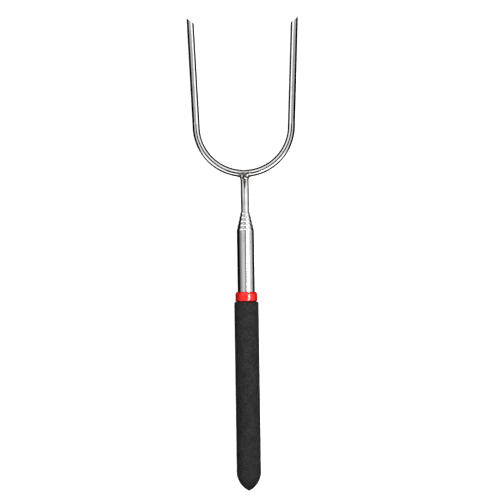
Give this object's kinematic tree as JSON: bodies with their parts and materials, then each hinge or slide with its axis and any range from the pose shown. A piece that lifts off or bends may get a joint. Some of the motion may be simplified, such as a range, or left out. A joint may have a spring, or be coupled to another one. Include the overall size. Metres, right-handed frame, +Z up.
{
  "type": "telescopic marshmallow roasting fork",
  "caption": "Telescopic roasting fork: a bent wire fork on nested steel tubes that slide and turn, with a foam grip.",
  "frame": {"origin": "on the plane that the grip rests on, under the middle of the closed fork", "axes": "+Y along the rod, out past the prong tips; +Z up, square to the plane of the prongs; +X from the left prong to the right prong"},
  "size_m": [0.071, 0.3004, 0.0156],
  "materials": {
    "foam": "matte",
    "red_plastic": "gloss",
    "white_plastic": "satin",
    "tube_steel": "satin",
    "wire_steel": "satin",
    "weld_metal": "satin",
    "brass": "satin",
    "spring_steel": "satin"
  },
  "bodies": {
    "handle": {"grip": "foam", "collar": "red_plastic", "end_plug": "white_plastic", "outer_tube": "tube_steel"},
    "ring_2": {"friction_ring_2": "spring_steel"},
    "section_2": {"tube_2": "tube_steel", "tail_bush_2": "brass"},
    "ring_3": {"friction_ring_3": "spring_steel"},
    "section_3": {"tube_3": "tube_steel", "tail_bush_3": "brass"},
    "ring_4": {"friction_ring_4": "spring_steel"},
    "section_4": {"tube_4": "tube_steel", "tail_bush_4": "brass"},
    "ring_5": {"friction_ring_5": "spring_steel"},
    "section_5": {"tube_5": "tube_steel", "tail_bush_5": "brass"},
    "ring_6": {"friction_ring_6": "spring_steel"},
    "fork": {"stem_tube": "tube_steel", "prong_wire": "wire_steel", "weld_bead": "weld_metal", "tail_bush_6": "brass"}
  },
  "joints": [
    {"name": "section_2_slide", "type": "slide", "parent": "handle", "child": "ring_2", "axis": [0, 1, 0], "range_m": [0, 0.1481]},
    {"name": "section_2_turn", "type": "hinge", "parent": "ring_2", "child": "section_2", "pos_m": [0, -0.13503, 0.0078], "axis": [0, 1, 0], "continuous": true},
    {"name": "section_3_slide", "type": "slide", "parent": "section_2", "child": "ring_3", "axis": [0, 1, 0], "range_m": [0, 0.14394]},
    {"name": "section_3_turn", "type": "hinge", "parent": "ring_3", "child": "section_3", "pos_m": [0, -0.12833, 0.0078], "axis": [0, 1, 0], "continuous": true},
    {"name": "section_4_slide", "type": "slide", "parent": "section_3", "child": "ring_4", "axis": [0, 1, 0], "range_m": [0, 0.13978]},
    {"name": "section_4_turn", "type": "hinge", "parent": "ring_4", "child": "section_4", "pos_m": [0, -0.12163, 0.0078], "axis": [0, 1, 0], "continuous": true},
    {"name": "section_5_slide", "type": "slide", "parent": "section_4", "child": "ring_5", "axis": [0, 1, 0], "range_m": [0, 0.13562]},
    {"name": "section_5_turn", "type": "hinge", "parent": "ring_5", "child": "section_5", "pos_m": [0, -0.11493, 0.0078], "axis": [0, 1, 0], "continuous": true},
    {"name": "fork_slide", "type": "slide", "parent": "section_5", "child": "ring_6", "axis": [0, 1, 0], "range_m": [0, 0.13146]},
    {"name": "fork_turn", "type": "hinge", "parent": "ring_6", "child": "fork", "pos_m": [0, -0.10823, 0.0078], "axis": [0, 1, 0], "continuous": true}
  ]
}
